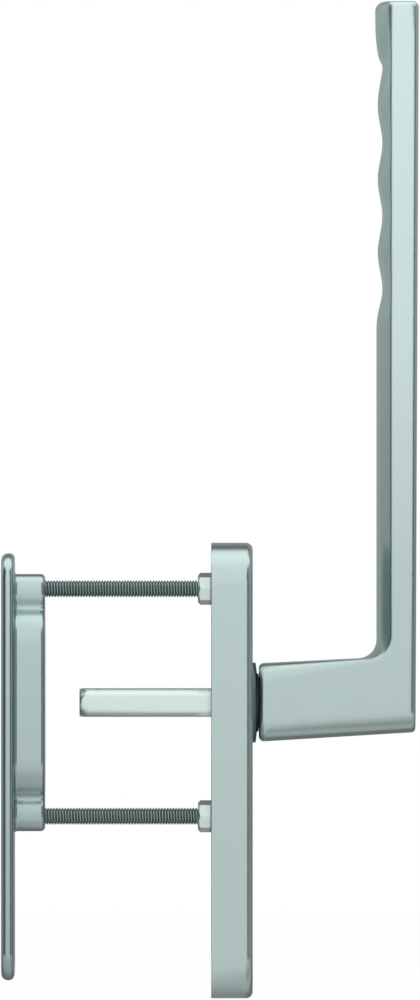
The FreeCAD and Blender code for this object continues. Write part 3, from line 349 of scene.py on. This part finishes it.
# %% Grain group
def fine_grain_group():
    """Group: a roughness that varies around a middle value, a height for the bump, and a slow cloud."""
    group = bpy.data.node_groups.new("fine_grain", "ShaderNodeTree")
    sockets = group.interface
    for name, value in (("Scale", 900.0), ("Roughness", 0.35), ("Variation", 0.06), ("Cloud Scale", 18.0)):
        socket = sockets.new_socket(name=name, in_out="INPUT", socket_type="NodeSocketFloat")
        socket.default_value = value
    for name in ("Roughness", "Height", "Cloud"):
        sockets.new_socket(name=name, in_out="OUTPUT", socket_type="NodeSocketFloat")
    tree, links = group.nodes, group.links
    start = tree.new("NodeGroupInput")
    end = tree.new("NodeGroupOutput")
    place = tree.new("ShaderNodeTexCoord")
    grain = tree.new("ShaderNodeTexNoise")
    grain.inputs["Detail"].default_value = 4.0
    cloud = tree.new("ShaderNodeTexNoise")
    cloud.inputs["Detail"].default_value = 2.0
    links.new(place.outputs["Object"], grain.inputs["Vector"])
    links.new(place.outputs["Object"], cloud.inputs["Vector"])
    links.new(start.outputs["Scale"], grain.inputs["Scale"])
    links.new(start.outputs["Cloud Scale"], cloud.inputs["Scale"])
    both = calculation(tree, links, "ADD", grain.outputs["Fac"], cloud.outputs["Fac"])
    centred = calculation(tree, links, "SUBTRACT", both, 1.0)
    spread = calculation(tree, links, "MULTIPLY", centred, start.outputs["Variation"])
    varied = calculation(tree, links, "ADD", spread, start.outputs["Roughness"])
    links.new(varied, end.inputs["Roughness"])
    links.new(grain.outputs["Fac"], end.inputs["Height"])
    links.new(cloud.outputs["Fac"], end.inputs["Cloud"])
    return group


FINE_GRAIN = fine_grain_group()
print("grain group sockets:", len(FINE_GRAIN.interface.items_tree))


# %% [markdown]
# ## Metal finishes
# Each finish is one material: its colour, how sharp its reflections are and how deep its grain is.
# The two tones of a metal are mixed by the slow cloud pattern, so no surface is one flat colour.
# In the picture the long aluminium pieces grow lighter towards the top. That comes from its light,
# not from the metal, which is even. The drift is put into the finish here as a stand-in for it.
# Blasting takes the sharpness off an edge: a Bevel node turns the normals there, which costs no
# faces, and its radius changes along the lever and across the pull to follow the picture.

# %% Metal finishes
EDGE_SAMPLES = 8
GRAIN_HEIGHT = 0.02 * MM


def edge_rounding(tree, links, edge):
    """Softened normals. edge is one radius, or an axis and pairs of a place and a radius."""
    rounded = tree.new("ShaderNodeBevel")
    rounded.samples = EDGE_SAMPLES
    if isinstance(edge, float):
        rounded.inputs["Radius"].default_value = edge
    else:
        links.new(graded_value(tree, links, *edge), rounded.inputs["Radius"])
    return rounded.outputs["Normal"]


def fine_grain(tree, scale, roughness):
    grain = tree.new("ShaderNodeGroup")
    grain.node_tree = FINE_GRAIN
    grain.inputs["Scale"].default_value = scale
    grain.inputs["Roughness"].default_value = roughness
    return grain


def metal(name, light, dark_tone, roughness, grain_scale, grain_depth, edge, painted_light=None):
    """A metal with a fine grain. light and dark_tone are its close tones, and edge rounds its edges.
    The last argument is painted light and shade: it scales the colour slowly with height, as pairs of a
    height and a factor."""
    material, tree, links = new_material(name)
    surface = tree["Principled BSDF"]
    surface.inputs["Metallic"].default_value = 1.0
    grain = fine_grain(tree, grain_scale, roughness)
    tones = tree.new("ShaderNodeMix")
    tones.data_type = "RGBA"
    tones.inputs["A"].default_value = (*dark_tone, 1)
    tones.inputs["B"].default_value = (*light, 1)
    links.new(grain.outputs["Cloud"], tones.inputs["Factor"])
    colour = tones.outputs["Result"]
    # Painted light and shade: the base colour is scaled with height.
    if painted_light:
        scaled = tree.new("ShaderNodeVectorMath")
        scaled.operation = "SCALE"
        links.new(colour, scaled.inputs[0])
        links.new(graded_value(tree, links, "Z", painted_light), scaled.inputs["Scale"])
        colour = scaled.outputs[0]
    links.new(colour, surface.inputs["Base Color"])
    links.new(grain.outputs["Roughness"], surface.inputs["Roughness"])
    bump = tree.new("ShaderNodeBump")
    bump.inputs["Strength"].default_value = grain_depth
    bump.inputs["Distance"].default_value = GRAIN_HEIGHT
    links.new(edge_rounding(tree, links, edge), bump.inputs["Normal"])
    links.new(grain.outputs["Height"], bump.inputs["Height"])
    links.new(bump.outputs["Normal"], surface.inputs["Normal"])
    return material


# Painted light and shade: the colours of the lever, the cover and the pull are scaled lighter towards the
# top, and the pull's is also scaled darker towards its foot.
LEVER_PAINTED_LIGHT = ((0.0, 1.0), (0.05, 1.04), (0.12, 1.2), (0.24, 1.31))
LEVER_EDGES = ("Z", ((0.012, 2.4 * MM), (0.040, 1.7 * MM), (0.234, 1.7 * MM), (0.242, 3.2 * MM)))
COVER_PAINTED_LIGHT = ((-0.10, 0.98), (0.0, 1.0), (0.06, 1.08))
PULL_PAINTED_LIGHT = ((-0.10, 0.84), (-0.04, 0.92), (0.0, 1.0), (0.05, 1.12))
PULL_EDGES = ("X", ((-0.0700, 0.4 * MM), (-0.0672, 0.5 * MM), (-0.0655, 2.4 * MM),
                    (-0.0620, 2.4 * MM), (-0.0600, 0.6 * MM)))
satin_aluminium = metal("satin_aluminium", (0.60, 0.71, 0.69), (0.55, 0.66, 0.64), 0.22, 2600.0, 0.4,
                        LEVER_EDGES, LEVER_PAINTED_LIGHT)
cover_aluminium = metal("cover_aluminium", (0.61, 0.72, 0.70), (0.56, 0.67, 0.65), 0.25, 2600.0, 0.4,
                        0.6 * MM, COVER_PAINTED_LIGHT)
pull_aluminium = metal("pull_aluminium", (0.58, 0.69, 0.68), (0.50, 0.61, 0.60), 0.24, 2200.0, 0.4,
                       PULL_EDGES, PULL_PAINTED_LIGHT)
spindle_steel = metal("spindle_steel", (0.88, 0.97, 0.92), (0.78, 0.88, 0.83), 0.20, 700.0, 0.6, 2.0 * MM)
bright_steel = metal("bright_steel", (0.80, 0.90, 0.87), (0.68, 0.78, 0.75), 0.20, 700.0, 0.6, 0.5 * MM)
thread_steel = metal("thread_steel", (0.36, 0.45, 0.43), (0.29, 0.37, 0.36), 0.28, 900.0, 0.5, 0.1 * MM)
spring_steel = metal("spring_steel", (0.36, 0.37, 0.38), (0.30, 0.31, 0.32), 0.30, 900.0, 0.3, 0.1 * MM)
cast_zinc = metal("cast_zinc", (0.42, 0.43, 0.44), (0.34, 0.35, 0.36), 0.50, 500.0, 1.0, 0.4 * MM)
grey_collar = metal("grey_collar", (0.16, 0.21, 0.205), (0.13, 0.175, 0.17), 0.38, 900.0, 0.4, 0.2 * MM)
print("metal finishes made")


# %% [markdown]
# ## Black plastic
# The guide bush and the friction washer are moulded in black plastic. It is no metal, so its
# colour is plain, and only its gloss varies, with the same grain at a coarser scale.

# %% Black plastic
def moulded_plastic(name, colour, roughness):
    material, tree, links = new_material(name)
    surface = tree["Principled BSDF"]
    surface.inputs["Base Color"].default_value = (*colour, 1)
    links.new(fine_grain(tree, 500.0, roughness).outputs["Roughness"], surface.inputs["Roughness"])
    return material


black_plastic = moulded_plastic("black_plastic", (0.012, 0.014, 0.014), 0.45)
print("plastic finish made")


# %% [markdown]
# ## Which piece has which finish
# The lever, the cover and the pull are one anodised aluminium in life. Each has its own material
# here, because the stand-in for the picture's light differs between them. The screws are missing
# from the list: they are made anew below.

# %% Finish every piece
FINISHES = {
    "lever": satin_aluminium,
    "cover_plate": cover_aluminium,
    "flush_pull": pull_aluminium,
    "spindle": spindle_steel,
    "spindle_set_screw": thread_steel,
    "support_post_upper": bright_steel,
    "support_post_lower": bright_steel,
    "screw_washer_upper": bright_steel,
    "screw_washer_lower": bright_steel,
    "screw_insert_upper": bright_steel,
    "screw_insert_lower": bright_steel,
    "disc_spring": spring_steel,
    "retaining_ring": spring_steel,
    "cover_clip_upper": spring_steel,
    "cover_clip_lower": spring_steel,
    "base_plate": cast_zinc,
    "neck_collar": grey_collar,
    "neck_bush": black_plastic,
    "friction_washer": black_plastic,
}
for name, finish in FINISHES.items():
    mesh = nodes[name].data
    mesh.materials.clear()
    mesh.materials.append(finish)
print(len(FINISHES), "pieces finished")


# %% [markdown]
# ## Thread
# The two long screws are M6: a ridge winds round the rod and climbs 1 mm a turn. On the real screw
# a die rolls it. A bump map would leave the rod's outline smooth, and the picture shows its teeth.
# So Spin does what the die does: the profile of one ridge is turned round the axis while it
# moves along it, and each turn meets the one before.

# %% Thread shape
PITCH = 1.0 * MM
THREAD_RADIUS = 2.95 * MM
THREAD_DEPTH = 0.60 * MM
CREST = 0.16
STEPS_PER_TURN = 28
NEAR = 0.01 * MM


def thread_profile(start):
    """The outline of one ridge along X, from root to root."""
    root = THREAD_RADIUS - THREAD_DEPTH
    shape = ((0.0, root), (0.5 - CREST, THREAD_RADIUS), (0.5 + CREST, THREAD_RADIUS), (1.0, root))
    return [Vector((start + along * PITCH, 0, radius)) for along, radius in shape]


def add_thread(shape, start, turns):
    """One turn of the ridge is spun as a helix, and its copies follow it along the rod."""
    points = [shape.verts.new(point) for point in thread_profile(start)]
    edges = [shape.edges.new(pair) for pair in zip(points, points[1:])]
    step = Vector((PITCH / STEPS_PER_TURN, 0, 0))
    bmesh.ops.spin(shape, geom=points + edges, cent=(0, 0, 0), axis=(1, 0, 0), dvec=step,
                   angle=2 * math.pi, steps=STEPS_PER_TURN, use_merge=False)
    one_turn = shape.verts[:] + shape.edges[:] + shape.faces[:]
    for turn in range(1, turns):
        copies = bmesh.ops.duplicate(shape, geom=one_turn)["geom"]
        moved = [item for item in copies if isinstance(item, bmesh.types.BMVert)]
        bmesh.ops.translate(shape, vec=(turn * PITCH, 0, 0), verts=moved)
    bmesh.ops.remove_doubles(shape, verts=shape.verts, dist=NEAR)


print("a ridge is", round(THREAD_DEPTH / MM, 2), "mm high")


# %% [markdown]
# ## Screw head
# Each screw has a low round head with a hexagon socket. A cylinder gives the head and a bevel its
# rounded rim. The socket is a hexagon bridged to the rim and pushed in, which keeps the head one
# closed shape, where a cutting modifier could leave stray faces.

# %% Head shape
HEAD_RADIUS = 5.0 * MM
HEAD_HEIGHT = 3.6 * MM
HEAD_EDGE = 1.0 * MM
HEAD_EDGE_STEPS = 3
HEAD_SEGMENTS = 32
SOCKET_RADIUS = 4.0 / math.sqrt(3) * MM
SOCKET_DEPTH = 2.3 * MM


def faces_at(shape, place):
    """The faces that lie in the plane across the screw at a place along it."""
    return [face for face in shape.faces if all(abs(vert.co.x - place) < NEAR for vert in face.verts)]


def add_head(shape, under, top):
    """A pan head: a short cylinder with a rounded rim and a hexagon socket in its face."""
    head = bmesh.ops.create_cone(shape, cap_ends=True, segments=HEAD_SEGMENTS, radius1=HEAD_RADIUS,
                                 radius2=HEAD_RADIUS, depth=top - under)["verts"]
    turn = Matrix.Rotation(math.pi / 2, 4, "Y")
    place = Matrix.Translation(((under + top) / 2, 0, 0))
    bmesh.ops.transform(shape, matrix=place @ turn, verts=head)
    bmesh.ops.bevel(shape, geom=list(faces_at(shape, top)[0].edges), offset=HEAD_EDGE,
                    segments=HEAD_EDGE_STEPS, affect="EDGES", profile=0.5, material=-1)
    face = max(faces_at(shape, top), key=lambda face: face.calc_area())
    rim = list(face.edges)
    bmesh.ops.delete(shape, geom=[face], context="FACES_ONLY")
    hexagon = bmesh.ops.create_circle(shape, cap_ends=False, segments=6, radius=SOCKET_RADIUS)["verts"]
    bmesh.ops.transform(shape, matrix=Matrix.Translation((top, 0, 0)) @ turn, verts=hexagon)
    sides = [edge for edge in shape.edges if all(vert in hexagon for vert in edge.verts)]
    bmesh.ops.bridge_loops(shape, edges=rim + sides)
    walls = bmesh.ops.extrude_edge_only(shape, edges=sides)["geom"]
    floor_corners = [item for item in walls if isinstance(item, bmesh.types.BMVert)]
    bmesh.ops.translate(shape, vec=(-SOCKET_DEPTH, 0, 0), verts=floor_corners)
    bmesh.ops.contextual_create(shape, geom=floor_corners)


print("a head is", round(2 * HEAD_RADIUS / MM, 1), "mm across")


# %% [markdown]
# ## Fixing screws
# Each screw takes the place of a plain one in the CAD model, so its length and its axis are read
# from that one's box. The thread is made a little too long and cut off square at both ends, and
# the head goes on top.

# %% Cut the threads
def threaded_screw(name, node):
    """A screw with a real helical thread and a pan head with a hexagon socket."""
    low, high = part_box(node)
    axis_height = (low.z + high.z) / 2
    under_head = high.x - HEAD_HEIGHT
    turns = math.ceil((under_head - low.x) / PITCH) + 2
    shape = bmesh.new()
    add_thread(shape, low.x - PITCH, turns)
    for cut, normal in ((low.x, (-1, 0, 0)), (under_head, (1, 0, 0))):
        bmesh.ops.bisect_plane(shape, geom=shape.verts[:] + shape.edges[:] + shape.faces[:],
                               plane_co=(cut, 0, 0), plane_no=normal, clear_outer=True)
    bmesh.ops.holes_fill(shape, edges=[edge for edge in shape.edges if edge.is_boundary], sides=0)
    add_head(shape, under_head, high.x)
    bmesh.ops.translate(shape, vec=(0, 0, axis_height), verts=shape.verts)
    bmesh.ops.recalc_face_normals(shape, faces=shape.faces)
    screw = mesh_object(name, shape)
    screw.data.materials.append(thread_steel)
    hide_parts(node)
    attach(screw, "door_side")
    print(name, turns, "turns,", len(screw.data.polygons), "faces")


for level in ("upper", "lower"):
    threaded_screw(f"threaded_screw_{level}", f"fixing_screw_{level}")
